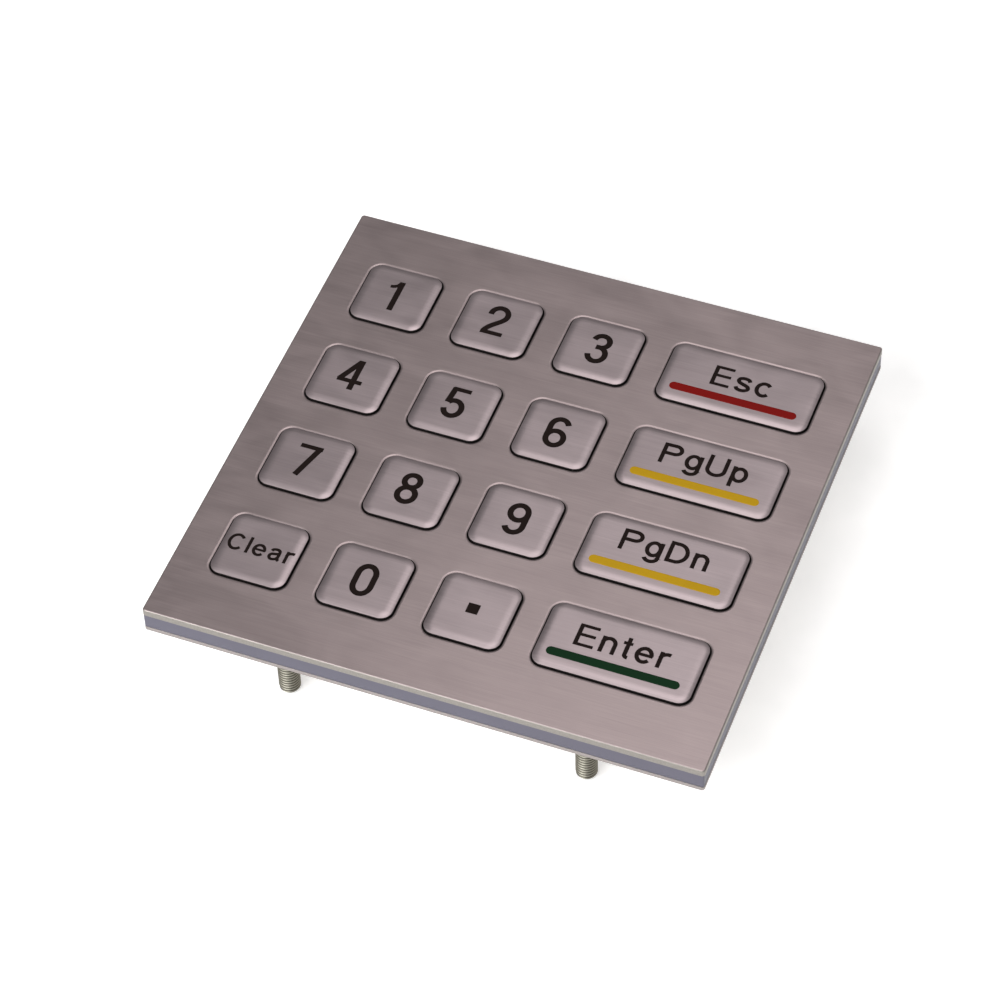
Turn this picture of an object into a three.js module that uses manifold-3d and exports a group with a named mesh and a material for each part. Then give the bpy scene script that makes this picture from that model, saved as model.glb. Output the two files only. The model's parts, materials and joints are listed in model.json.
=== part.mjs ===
// A brushed-steel numeric keypad for a kiosk or terminal panel: sixteen short-travel steel keys
// in a flat square panel, over a spacer frame, a silicone mat and a circuit board, closed by a
// thin steel back plate. Four threaded studs on the panel's rear pass out through the back plate.
//
// Millimetres. +X runs along a row of keys to the right, +Y runs up to the top row, and +Z points
// out of the front face. The origin is the centre of the back plate's rear seating face.

import * as THREE from 'three';
import { mergeVertices } from 'three/addons/utils/BufferGeometryUtils.js';
import Module from 'manifold-3d';

const wasm = await Module();
wasm.setup();

// ---- Driving dimensions ----

const PANEL_WIDTH = 105;
const PANEL_DEPTH = 104;
const PANEL_CORNER_RADIUS = 0.6;
const PANEL_EDGE_ROUND = 0.25;

const BACK_PLATE_THICKNESS = 0.8;
const BACK_PLATE_CORNER_RADIUS = 0.6;
const SPACER_THICKNESS = 3.3;
const PANEL_THICKNESS = 1.4;

const SPACER_INSET = 0.1;
const SPACER_CORNER_RADIUS = 0.3;
const CAVITY_WIDTH = 97;
const CAVITY_DEPTH = 83.8;
const CAVITY_CORNER_RADIUS = 1.5;

const KEY_WIDTH = 14.4;
const WIDE_KEY_WIDTH = 29.15;
const KEY_DEPTH = 14.4;
const KEY_CORNER_RADIUS = 2.2;
const KEY_GAP = 0.3;
const KEY_PROUD = 0.5;
const KEY_EDGE_DROP = 0.25;
const KEY_EDGE_ROLL = 1;
const KEY_FLANGE = 1;
const KEY_FLANGE_THICKNESS = 0.6;
const KEY_TRAVEL = 0.45;

const COLUMN_PITCH = 20.42;
const FIRST_COLUMN_X = -38;
const WIDE_COLUMN_X = 30.57;
const ROW_PITCH = 22;
const FIRST_ROW_Y = 33.35;

const STUD_RADIUS = 2;
const STUD_LENGTH_BEHIND_PLATE = 15;
const STUD_TIP_CHAMFER = 0.45;
const STUD_SPACING_X = 56.9;
const STUD_SPACING_Y = 89.4;
const STUD_FLANGE_RADIUS = 2.8;
const STUD_FLANGE_THICKNESS = 0.7;
const STUD_CLEARANCE = 0.35;

const SCREW_SPACING_X = 94;
const SCREW_ROW_Y = 47;
const SCREW_RADIUS = 1;
const SCREW_HEAD_RADIUS = 1.9;
const SCREW_HEAD_EDGE = 0.1;
const SCREW_LENGTH = 3.5;
const SCREW_CLEARANCE = 0.1;

const BOARD_CLEARANCE = 0.3;
const BOARD_THICKNESS = 1.2;

const DOME_BASE_RADIUS = 5.2;
const DOME_OPENING_RADIUS = 4.4;
const DOME_TOP_RADIUS = 3.2;
const DOME_LIP = 0.2;
const CONTACT_RADIUS = 1.9;
const CONTACT_HEIGHT = 0.45;

const HEADER_PINS = 8;
const HEADER_PITCH = 2.54;
const HEADER_BLOCK_HEIGHT = 2.5;
const HEADER_Y = 22;
const HEADER_WINDOW_MARGIN = 1.3;
const PIN_WIDTH = 0.64;
const PIN_REACH = 6;
const PIN_END_INSET = 0.1;
const PIN_CLEARANCE = 0.1;

const CORNER_STEPS = 2;
const HOLE_STEPS = 5;
const ROUND_SIDES = 12;
const DOME_SIDES = 10;
const CUT_MARGIN = 1;

// Levels that follow from the thicknesses, from the rear seating face up.
const SPACER_Z = BACK_PLATE_THICKNESS;
const PANEL_Z = SPACER_Z + SPACER_THICKNESS;
const BOARD_TOP_Z = SPACER_Z + BOARD_THICKNESS;
const MAT_THICKNESS = KEY_TRAVEL;
const MAT_TOP_Z = BOARD_TOP_Z + MAT_THICKNESS;
const KEY_Z = PANEL_Z - KEY_FLANGE_THICKNESS;
const DOME_HEIGHT = KEY_Z - MAT_TOP_Z;

// The keys in reading order, four to a row. The last one in each row is a wide key.
const KEY_ROWS = [
  ['1', '2', '3', 'esc'],
  ['4', '5', '6', 'page_up'],
  ['7', '8', '9', 'page_down'],
  ['clear', '0', 'dot', 'enter'],
];

const KEYS = KEY_ROWS.flatMap((row, rowIndex) => row.map((name, columnIndex) => {
  const wide = columnIndex === row.length - 1;
  return {
    name,
    x: wide ? WIDE_COLUMN_X : FIRST_COLUMN_X + columnIndex * COLUMN_PITCH,
    y: FIRST_ROW_Y - rowIndex * ROW_PITCH,
    width: wide ? WIDE_KEY_WIDTH : KEY_WIDTH,
  };
}));

// ---- Solids ----

// A closed three.js geometry as a solid that can be cut and joined.
function toSolid(geometry) {
  const bare = geometry.index ? geometry.toNonIndexed() : geometry.clone();
  bare.deleteAttribute('normal');
  bare.deleteAttribute('uv');
  const merged = mergeVertices(bare);
  return new wasm.Manifold(new wasm.Mesh({
    numProp: 3,
    vertProperties: new Float32Array(merged.attributes.position.array),
    triVerts: new Uint32Array(merged.index.array),
  }));
}

function toGeometry(solid) {
  const { vertProperties, triVerts } = solid.getMesh();
  const geometry = new THREE.BufferGeometry();
  geometry.setAttribute('position', new THREE.BufferAttribute(vertProperties, 3));
  geometry.setIndex(new THREE.BufferAttribute(triVerts, 1));
  geometry.computeVertexNormals();
  return geometry;
}

// Traces a rectangle with round corners, anticlockwise, on a Shape or a Path.
function roundedRectangle(outline, width, depth, radius, x = 0, y = 0) {
  const right = x + width / 2 - radius;
  const left = x - width / 2 + radius;
  const top = y + depth / 2 - radius;
  const bottom = y - depth / 2 + radius;
  outline.absarc(right, bottom, radius, -Math.PI / 2, 0);
  outline.absarc(right, top, radius, 0, Math.PI / 2);
  outline.absarc(left, top, radius, Math.PI / 2, Math.PI);
  outline.absarc(left, bottom, radius, Math.PI, Math.PI * 1.5);
  outline.closePath();
  return outline;
}

function slab(shape, height, z = 0, curveSegments = CORNER_STEPS) {
  const options = { depth: height, bevelEnabled: false, curveSegments };
  return new THREE.ExtrudeGeometry(shape, options).translate(0, 0, z);
}

// A slab whose top edge is rounded over, inwards by `roll` and down by `drop`. Its own lower edge
// is square, because the matching bevel below it is cut away.
function rolledSlab(shape, height, roll, drop, bevelSegments) {
  const geometry = new THREE.ExtrudeGeometry(shape, {
    depth: height - drop,
    bevelEnabled: true,
    bevelThickness: drop,
    bevelSize: roll,
    bevelOffset: -roll,
    bevelSegments,
    curveSegments: CORNER_STEPS,
  });
  return toSolid(geometry).subtract(toSolid(block(
    PANEL_WIDTH + 2 * CUT_MARGIN, PANEL_DEPTH + 2 * CUT_MARGIN, CUT_MARGIN, -CUT_MARGIN,
  )));
}

// An upright box, centred in plan, that starts at z.
function block(width, depth, height, z = 0) {
  return new THREE.BoxGeometry(width, depth, height).translate(0, 0, z + height / 2);
}

// Turns a profile of [radius, z] points, listed from the lower end of the axis, about Z.
function revolve(profile, sides = ROUND_SIDES) {
  const points = profile.map(([radius, z]) => new THREE.Vector2(radius, z));
  return new THREE.LatheGeometry(points, sides).rotateX(Math.PI / 2);
}

function roundHole(x, y, radius) {
  return new THREE.Path().absarc(x, y, radius, 0, Math.PI * 2);
}

const fourCorners = (spacingX, spacingY) => [-1, 1].flatMap(
  (sideY) => [-1, 1].map((sideX) => [sideX * spacingX / 2, sideY * spacingY / 2]),
);

const STUD_PLACES = fourCorners(STUD_SPACING_X, STUD_SPACING_Y);
const SCREW_PLACES = [-1, 1].flatMap(
  (sideY) => [-1, 0, 1].map((sideX) => [sideX * SCREW_SPACING_X / 2, sideY * SCREW_ROW_Y]),
);

// ---- Pieces ----

const plateOutline = (cornerRadius) => roundedRectangle(
  new THREE.Shape(), PANEL_WIDTH, PANEL_DEPTH, cornerRadius,
);

function frontPanel() {
  const shape = plateOutline(PANEL_CORNER_RADIUS);
  for (const key of KEYS) {
    shape.holes.push(roundedRectangle(
      new THREE.Path(), key.width + 2 * KEY_GAP, KEY_DEPTH + 2 * KEY_GAP,
      KEY_CORNER_RADIUS + KEY_GAP, key.x, key.y,
    ));
  }
  return toGeometry(rolledSlab(shape, PANEL_THICKNESS, PANEL_EDGE_ROUND, PANEL_EDGE_ROUND, 1));
}

// A countersunk screw's profile, grown by `clearance`, with its head's face on the rear plane.
function screwProfile(clearance) {
  const head = SCREW_HEAD_RADIUS + clearance;
  const shank = SCREW_RADIUS + clearance;
  const start = clearance > 0 ? -CUT_MARGIN : 0;
  return [
    [0, start], [head, start], [head, SCREW_HEAD_EDGE],
    [shank, SCREW_HEAD_EDGE + SCREW_HEAD_RADIUS - SCREW_RADIUS],
    [shank, SCREW_LENGTH + clearance], [0, SCREW_LENGTH + clearance],
  ];
}

function withScrewHoles(solid) {
  const cutter = revolve(screwProfile(SCREW_CLEARANCE));
  return SCREW_PLACES.reduce(
    (cut, [x, y]) => cut.subtract(toSolid(cutter.clone().translate(x, y, 0))), solid,
  );
}

function spacerFrame() {
  const shape = roundedRectangle(
    new THREE.Shape(), PANEL_WIDTH - 2 * SPACER_INSET, PANEL_DEPTH - 2 * SPACER_INSET,
    SPACER_CORNER_RADIUS,
  );
  shape.holes.push(roundedRectangle(
    new THREE.Path(), CAVITY_WIDTH, CAVITY_DEPTH, CAVITY_CORNER_RADIUS,
  ));
  let frame = toSolid(slab(shape, SPACER_THICKNESS, SPACER_Z));
  for (const [x, y] of STUD_PLACES) {
    const bore = revolve([
      [0, 0], [STUD_RADIUS + STUD_CLEARANCE, 0],
      [STUD_RADIUS + STUD_CLEARANCE, PANEL_Z - STUD_FLANGE_THICKNESS - STUD_CLEARANCE],
      [STUD_FLANGE_RADIUS + STUD_CLEARANCE, PANEL_Z - STUD_FLANGE_THICKNESS - STUD_CLEARANCE],
      [STUD_FLANGE_RADIUS + STUD_CLEARANCE, PANEL_Z + CUT_MARGIN], [0, PANEL_Z + CUT_MARGIN],
    ]);
    frame = frame.subtract(toSolid(bore.translate(x, y, 0)));
  }
  return toGeometry(withScrewHoles(frame));
}

function backPlate() {
  const shape = plateOutline(BACK_PLATE_CORNER_RADIUS);
  for (const [x, y] of STUD_PLACES) {
    shape.holes.push(roundHole(x, y, STUD_RADIUS + STUD_CLEARANCE));
  }
  shape.holes.push(roundedRectangle(
    new THREE.Path(), HEADER_PINS * HEADER_PITCH + 2 * HEADER_WINDOW_MARGIN,
    HEADER_PITCH + 2 * HEADER_WINDOW_MARGIN, HEADER_WINDOW_MARGIN, 0, HEADER_Y,
  ));
  return toGeometry(withScrewHoles(toSolid(slab(shape, BACK_PLATE_THICKNESS, 0, HOLE_STEPS))));
}

// One key: a cap with a softly rolled top edge on a flange that stops against the panel's rear.
function keyCap(width) {
  const flange = roundedRectangle(
    new THREE.Shape(), width + 2 * KEY_FLANGE, KEY_DEPTH + 2 * KEY_FLANGE,
    KEY_CORNER_RADIUS + KEY_FLANGE,
  );
  const cap = roundedRectangle(new THREE.Shape(), width, KEY_DEPTH, KEY_CORNER_RADIUS);
  const height = KEY_FLANGE_THICKNESS + PANEL_THICKNESS + KEY_PROUD;
  const body = rolledSlab(cap, height, KEY_EDGE_ROLL, KEY_EDGE_DROP, 2);
  return toGeometry(body.add(toSolid(slab(flange, KEY_FLANGE_THICKNESS))));
}

// The flexing dome under a key, open below, with its contact boss hanging from the roof.
function dome() {
  return revolve([
    [0, 0], [CONTACT_RADIUS, 0], [CONTACT_RADIUS, CONTACT_HEIGHT],
    [CONTACT_RADIUS + (DOME_OPENING_RADIUS - CONTACT_RADIUS) / 4, CONTACT_HEIGHT],
    [DOME_OPENING_RADIUS, 0], [DOME_BASE_RADIUS, 0], [DOME_BASE_RADIUS, DOME_LIP],
    [DOME_TOP_RADIUS, DOME_HEIGHT], [0, DOME_HEIGHT],
  ], DOME_SIDES);
}

const insideCavity = () => roundedRectangle(
  new THREE.Shape(), CAVITY_WIDTH - 2 * BOARD_CLEARANCE, CAVITY_DEPTH - 2 * BOARD_CLEARANCE,
  CAVITY_CORNER_RADIUS - BOARD_CLEARANCE,
);

function siliconeMat() {
  const shape = insideCavity();
  for (const key of KEYS) {
    shape.holes.push(roundHole(key.x, key.y, DOME_OPENING_RADIUS - BOARD_CLEARANCE));
  }
  return slab(shape, MAT_THICKNESS, 0, HOLE_STEPS);
}

const pinX = (index) => (index - (HEADER_PINS - 1) / 2) * HEADER_PITCH;

// Cuts the row of square pin holes through a solid that stands around the connector.
function withPinHoles(solid, y) {
  const side = PIN_WIDTH + 2 * PIN_CLEARANCE;
  let cut = solid;
  for (let index = 0; index < HEADER_PINS; index += 1) {
    const hole = block(side, side, 2 * PIN_REACH, -PIN_REACH).translate(pinX(index), y, 0);
    cut = cut.subtract(toSolid(hole));
  }
  return cut;
}

const circuitBoard = () => toGeometry(
  withPinHoles(toSolid(slab(insideCavity(), BOARD_THICKNESS)), HEADER_Y),
);

const headerBlock = () => toGeometry(withPinHoles(
  toSolid(block(HEADER_PINS * HEADER_PITCH, HEADER_PITCH, HEADER_BLOCK_HEIGHT,
    -HEADER_BLOCK_HEIGHT)), 0,
));

const PIN_TOP_Z = BOARD_TOP_Z - PIN_END_INSET;
const PIN_TIP_Z = SPACER_Z - HEADER_BLOCK_HEIGHT - PIN_REACH;

const headerPin = () => block(PIN_WIDTH, PIN_WIDTH, PIN_TOP_Z - PIN_TIP_Z);

// A threaded stud, drawn at its crest diameter, with a weld flange against the panel's rear.
function stud() {
  const tip = -STUD_LENGTH_BEHIND_PLATE;
  const flangeZ = PANEL_Z - STUD_FLANGE_THICKNESS;
  return revolve([
    [0, tip], [STUD_RADIUS - STUD_TIP_CHAMFER, tip], [STUD_RADIUS, tip + STUD_TIP_CHAMFER],
    [STUD_RADIUS, flangeZ], [STUD_FLANGE_RADIUS, flangeZ], [STUD_FLANGE_RADIUS, PANEL_Z],
    [0, PANEL_Z],
  ]);
}

// ---- Finishes ----

const finish = (color, roughness, metalness) => () => new THREE.MeshStandardMaterial(
  { color, roughness, metalness },
);
const brushedSteel = finish(0x9a8d8c, 0.38, 1);
const keySteel = finish(0xa39896, 0.34, 1);
const plainSteel = finish(0xb4aea6, 0.45, 1);
const studSteel = finish(0x9a9888, 0.4, 1);
const spacerPlastic = finish(0x76788a, 0.55, 0);
const blackSilicone = finish(0x2a2a2c, 0.8, 0);
const boardGreen = finish(0x1f5a38, 0.5, 0);
const blackPlastic = finish(0x18181a, 0.5, 0);
const pinMetal = finish(0xc8a652, 0.3, 1);

// ---- Assembly ----

const keypad = new THREE.Group();

function place(parent, name, geometry, material, x = 0, y = 0, z = 0) {
  const mesh = new THREE.Mesh(geometry, material());
  mesh.name = name;
  mesh.position.set(x, y, z);
  parent.add(mesh);
}

place(keypad, 'front_panel', frontPanel(), brushedSteel, 0, 0, PANEL_Z);
place(keypad, 'spacer_frame', spacerFrame(), spacerPlastic);
place(keypad, 'back_plate', backPlate(), plainSteel);

for (const key of KEYS) {
  place(keypad, `key_${key.name}`, keyCap(key.width), keySteel, key.x, key.y, KEY_Z);
  place(keypad, `dome_${key.name}`, dome(), blackSilicone, key.x, key.y, MAT_TOP_Z);
}

place(keypad, 'silicone_mat', siliconeMat(), blackSilicone, 0, 0, BOARD_TOP_Z);
place(keypad, 'circuit_board', circuitBoard(), boardGreen, 0, 0, SPACER_Z);

const header = new THREE.Group();
header.position.set(0, HEADER_Y, 0);
keypad.add(header);
place(header, 'header_block', headerBlock(), blackPlastic, 0, 0, SPACER_Z);
for (let index = 0; index < HEADER_PINS; index += 1) {
  place(header, `header_pin_${index + 1}`, headerPin(), pinMetal, pinX(index), 0, PIN_TIP_Z);
}

const STUD_NAMES = ['front_left', 'front_right', 'back_left', 'back_right'];
STUD_PLACES.forEach(([x, y], index) => {
  place(keypad, `stud_${STUD_NAMES[index]}`, stud(), studSteel, x, y);
});

const SCREW_NAMES = [
  'front_left', 'front_middle', 'front_right', 'back_left', 'back_middle', 'back_right',
];
SCREW_PLACES.forEach(([x, y], index) => {
  place(keypad, `screw_${SCREW_NAMES[index]}`, revolve(screwProfile(0)), plainSteel, x, y);
});

export default keypad;
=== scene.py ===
"""Looks for the brushed-steel panel keypad: its pieces, materials, studio and camera.

Lengths in this script are millimetres in the CAD frame, and become metres where a mesh is made.
"""
import json
import math

import bpy
import bmesh
from mathutils import Matrix, Vector
from mathutils.geometry import delaunay_2d_cdt

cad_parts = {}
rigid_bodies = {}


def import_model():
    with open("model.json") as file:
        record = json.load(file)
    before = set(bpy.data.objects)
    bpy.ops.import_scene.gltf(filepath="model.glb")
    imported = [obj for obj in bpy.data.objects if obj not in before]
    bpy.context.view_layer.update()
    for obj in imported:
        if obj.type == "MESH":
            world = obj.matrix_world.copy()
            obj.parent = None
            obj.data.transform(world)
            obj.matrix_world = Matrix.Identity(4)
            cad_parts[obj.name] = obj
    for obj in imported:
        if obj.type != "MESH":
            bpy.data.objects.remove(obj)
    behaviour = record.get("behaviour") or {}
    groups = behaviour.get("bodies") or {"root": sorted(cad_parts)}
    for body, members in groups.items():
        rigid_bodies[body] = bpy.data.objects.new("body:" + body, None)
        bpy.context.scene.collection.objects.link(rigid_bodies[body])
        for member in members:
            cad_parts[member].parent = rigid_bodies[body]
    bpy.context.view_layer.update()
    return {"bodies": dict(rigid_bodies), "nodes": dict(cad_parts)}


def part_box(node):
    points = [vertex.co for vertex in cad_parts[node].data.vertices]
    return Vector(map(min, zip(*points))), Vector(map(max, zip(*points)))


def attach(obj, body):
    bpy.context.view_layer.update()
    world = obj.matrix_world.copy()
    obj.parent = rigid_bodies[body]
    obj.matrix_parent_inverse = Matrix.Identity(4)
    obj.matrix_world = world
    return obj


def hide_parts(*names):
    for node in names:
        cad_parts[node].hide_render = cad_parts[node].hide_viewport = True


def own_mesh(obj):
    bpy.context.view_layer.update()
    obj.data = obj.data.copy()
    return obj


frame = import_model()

MM = 0.001
SCENE = bpy.context.scene


def box_mm(node):
    """A CAD node's lowest and highest corners, in millimetres."""
    low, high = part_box(node)
    return low / MM, high / MM


PANEL_LOW, PANEL_HIGH = box_mm("front_panel")
SPACER_LOW, SPACER_HIGH = box_mm("spacer_frame")
PLATE_LOW, PLATE_HIGH = box_mm("back_plate")
FLOOR_Z = box_mm("stud_front_left")[0].z
FACE_Z = PANEL_HIGH.z
KEY_NAMES = [body for body in frame["bodies"] if body.startswith("key_")]

# Camera: where it stands and what it looks at, from the centre of the panel's face.
CAMERA_FROM_FACE = Vector((161.6, -405.1, 508.0))
CAMERA_AIM = Vector((-1.72, -6.95, 0))
CAMERA_ROLL = -2.08
CAMERA_LENS = 132.57

# The sky's brightness rises from dark to light along this direction.
SKY_AXIS = (0.42, -0.45, 0.788)
SKY_DARK_SLOPE, SKY_LIGHT_SLOPE = -0.2, 0.9
SKY_DARK, SKY_LIGHT = 0.19, 0.52
SKY_COLOR = (1.0, 0.99, 0.98, 1)

# Softboxes: place, point aimed at, width, depth, power in watts, and colour.
SOFTBOXES = {
    "front_box": ((-350, -750, 650), (0, 0, 0), 800, 600, 8.0, (1, 1, 1)),
    "top_box": ((0, 150, 560), (30, -20, 0), 320, 340, 0.56, (1.0, 0.96, 0.95)),
}

FLOOR_RADIUS = 2500
FLOOR_COLOR = (0.9, 0.9, 0.9)
FLOOR_GLOW = {"Emission Color": (1, 1, 1, 1), "Emission Strength": 0.45}

# Rounded edges. A roll is how far the rounding reaches inwards, and a turn is the slope in degrees
# that it has reached where it meets the upright wall.
FLAT_MARGIN = 0.03
ROLL_STEPS = 8
CORNER_STEPS = 10
PANEL_CORNER_RADIUS = 0.6
PANEL_ROLL, PANEL_TURN = 0.3, 70
RIM_ROLL, RIM_TURN = 0.45, 27
KEY_CORNER_RADIUS = 2.2
KEY_GAP = 0.3
KEY_FLANGE = 1.0
KEY_FLANGE_THICKNESS = 0.6
KEY_ROLL, KEY_TURN = 1.9, 23
SPACER_CORNER_RADIUS = 0.3
PLATE_CORNER_RADIUS = 0.6
SPACER_ROLL = 0.15
PLATE_ROLL = 0.1
CAVITY_WIDTH, CAVITY_DEPTH, CAVITY_CORNER_RADIUS = 97, 83.8, 1.5

# Fasteners and connector.
STUD_RADIUS = 2.0
STUD_HOLE_GAP = 0.35
STUD_FLANGE_RADIUS, STUD_FLANGE_THICKNESS = 2.8, 0.7
THREAD_PITCH, THREAD_DEPTH = 0.7, 0.4
THREAD_ROWS, THREAD_COLUMNS = 8, 40
THREAD_LEAD_IN = 0.6
SCREW_SHANK_RADIUS = 1.0
SCREW_POINT = 0.2
SCREW_HEAD_EDGE = 0.1
SCREW_HEAD_CHAMFER, SCREW_HEAD_CHAMFER_HEIGHT = 0.05, 0.04
SCREW_HOLE_GAP = 0.1
RECESS_SPAN, RECESS_SLOT, RECESS_DEPTH, RECESS_TAPER = 1.9, 0.42, 0.75, 0.55
WINDOW_MARGIN = 1.3
BLOCK_CHAMFER = 0.45
PIN_HOLE_GAP = 0.1
PIN_POINT = 0.7
PIN_ROUNDING, PIN_TIP_TAPER = 1 / 12, 1 / 4     # shares of the pin's side

# Domes: radii and heights as a real keypad mat has them.
DOME_LIP = 0.2
DOME_WALL = 0.45
DOME_TOP_RADIUS, CONTACT_RADIUS = 3.2, 1.9
DOME_CENTRE_RADIUS = 0.3
DOME_SHOULDER, DOME_SHOULDER_DROP = 0.2, 0.1
SKIRT_TAPER, SKIRT_RISE, SKIRT_WALL = 0.5, 0.15, 0.8
CONTACT_HEIGHT, CONTACT_TAPER = 0.45, 0.1

# Legends: heights of capitals, and how far the fill stands above and below the key's top.
DIGIT_HEIGHT = 7.5
WORD_HEIGHT = 4.9
SMALL_WORD_HEIGHT = 3.75
LEGEND_PROUD = 0.012
LEGEND_SUNK = 0.1
BAR_LENGTH, BAR_WIDTH = 24.6, 1.8
BAR_X, BAR_Y = -0.2, -3.85
BAR_ROLL, BAR_TURN, BAR_PROUD = 0.3, 14, 0.05


# ---------------------------------------------------------------- outlines and meshes

def arc(x, y, radius_x, radius_y, start, end, steps):
    """Points on an ellipse's arc from one angle to another, in degrees, both ends included."""
    angles = [math.radians(start + (end - start) * i / steps) for i in range(steps + 1)]
    return [(x + radius_x * math.cos(a), y + radius_y * math.sin(a)) for a in angles]


def rounded_rectangle(x, y, width, depth, radius, steps=CORNER_STEPS):
    """A function that gives the rectangle's outline, anticlockwise, grown outwards by a margin."""
    def outline(grow=0.0):
        r = max(radius + grow, 0.02)
        half_x, half_y = width / 2 + grow - r, depth / 2 + grow - r
        corners = [(1, -1, -90), (1, 1, 0), (-1, 1, 90), (-1, -1, 180)]
        return [point for side_x, side_y, start in corners
                for point in arc(x + side_x * half_x, y + side_y * half_y, r, r,
                                 start, start + 90, steps)]
    return outline


def circle(x, y, radius, steps=48):
    return lambda grow=0.0: arc(x, y, radius + grow, radius + grow, 0, 360, steps)[:-1]


def roll_over(roll, turn, top, steps=ROLL_STEPS):
    """Insets and heights down a rounded edge, from the flat just inside it to the upright wall."""
    radius = roll / math.sin(math.radians(turn))
    turns = [math.radians(turn * i / steps) for i in range(steps + 1)]
    rounded = [(radius * math.sin(t) - roll, top - radius * (1 - math.cos(t))) for t in turns]
    return [(-roll - FLAT_MARGIN, top)] + rounded


def pillow(roll, turn, top, steps=ROLL_STEPS):
    """Insets and heights down a soft edge whose slope starts at nothing and grows ever faster."""
    heights = [top]
    for i in range(steps):
        slope = math.tan(math.radians(turn) * ((i + 0.5) / steps) ** 2)
        heights.append(heights[-1] - slope * roll / steps)
    rolled = [(roll * (i / steps - 1), z) for i, z in enumerate(heights)]
    return [(-roll - FLAT_MARGIN, top)] + rolled


class Shell:
    """Collects rings of points and the faces between them, in millimetres."""

    def __init__(self):
        self.mesh = bmesh.new()

    def ring(self, points, z):
        return [self.mesh.verts.new((x * MM, y * MM, z * MM)) for x, y in points]

    def wall(self, upper, lower, material=0):
        """Faces between two rings that run anticlockwise, facing outwards where upper is above."""
        count = len(upper)
        for i in range(count):
            j = (i + 1) % count
            face = self.mesh.faces.new((lower[i], lower[j], upper[j], upper[i]))
            face.material_index = material

    def cap(self, ring, down=False, material=0):
        face = self.mesh.faces.new(reversed(ring) if down else ring)
        face.material_index = material

    def sheet(self, rings, down=False, material=0):
        """Triangles between an outer ring and the rings of its holes, all in one plane."""
        edges = []
        for ring in rings:
            for i, vertex in enumerate(ring):
                pair = (vertex, ring[(i + 1) % len(ring)])
                edges.append(self.mesh.edges.get(pair) or self.mesh.edges.new(pair))
        made = bmesh.ops.triangle_fill(self.mesh, use_beauty=True, edges=edges)
        for face in (g for g in made["geom"] if isinstance(g, bmesh.types.BMFace)):
            face.normal_update()
            if (face.normal.z < 0) != down:
                face.normal_flip()
            face.material_index = material

    def piece(self, name, materials, body, slot, replaces=(), sharp=35):
        """The finished object, riding on its body."""
        data = bpy.data.meshes.new(name)
        self.mesh.to_mesh(data)
        self.mesh.free()
        data.shade_smooth()
        data.set_sharp_from_angle(angle=math.radians(sharp))
        for material in materials:
            data.materials.append(material)
        return mounted(bpy.data.objects.new(name, data), body, replaces)


def mounted(piece, body, replaces=()):
    """Puts a new object in the scene, on its body, in place of the CAD nodes that it stands for."""
    SCENE.collection.objects.link(piece)
    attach(piece, body)
    if replaces:
        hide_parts(*replaces)
    return piece


# ---------------------------------------------------------------- materials

class Nodes:
    """A Principled material under construction."""

    def __init__(self, name, color, roughness, metallic=0.0, **sockets):
        self.material = bpy.data.materials.new(name)
        self.material.use_nodes = True
        self.tree = self.material.node_tree
        self.shader = self.tree.nodes["Principled BSDF"]
        self.set(self.shader, {"Base Color": (*color, 1), "Roughness": roughness,
                               "Metallic": metallic, **sockets})
        self.color, self.roughness = color, roughness
        self.place = self.add("ShaderNodeTexCoord").outputs["Object"]

    @staticmethod
    def set(node, values):
        for socket, value in values.items():
            node.inputs[socket].default_value = value

    def add(self, kind, values=None, **links):
        node = self.tree.nodes.new(kind)
        self.set(node, values or {})
        for socket, output in links.items():
            self.tree.links.new(output, node.inputs[socket])
        return node

    def noise(self, scale, detail=3.0, distortion=0.0):
        """Noise over the object, with its own number of grains per metre along X, Y and Z."""
        mapped = self.add("ShaderNodeMapping", {"Scale": scale}, Vector=self.place)
        node = self.add("ShaderNodeTexNoise",
                        {"Scale": 1.0, "Detail": detail, "Distortion": distortion},
                        Vector=mapped.outputs["Vector"])
        return node.outputs["Fac"]

    def spread(self, value, low, high, start=0.3, end=0.7):
        """Maps a noise value onto the range from low to high."""
        node = self.add("ShaderNodeMapRange",
                        {"From Min": start, "From Max": end, "To Min": low, "To Max": high},
                        Value=value)
        return node.outputs["Result"]

    def math(self, operation, first, second):
        node = self.tree.nodes.new("ShaderNodeMath")
        node.operation = operation
        for socket, value in zip(node.inputs, (first, second)):
            if isinstance(value, (int, float)):
                socket.default_value = value
            else:
                self.tree.links.new(value, socket)
        return node.outputs["Value"]

    def shade(self, amount):
        """Multiplies the base colour by a value near 1."""
        node = self.add("ShaderNodeVectorMath")
        node.operation = "SCALE"
        node.inputs[0].default_value = self.color
        self.tree.links.new(amount, node.inputs["Scale"])
        self.tree.links.new(node.outputs["Vector"], self.shader.inputs["Base Color"])

    def rough(self, amount):
        self.tree.links.new(amount, self.shader.inputs["Roughness"])

    def bump(self, height, distance, strength=1.0):
        node = self.add("ShaderNodeBump", {"Distance": distance * MM, "Strength": strength},
                        Height=height)
        self.tree.links.new(node.outputs["Normal"], self.shader.inputs["Normal"])


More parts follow.
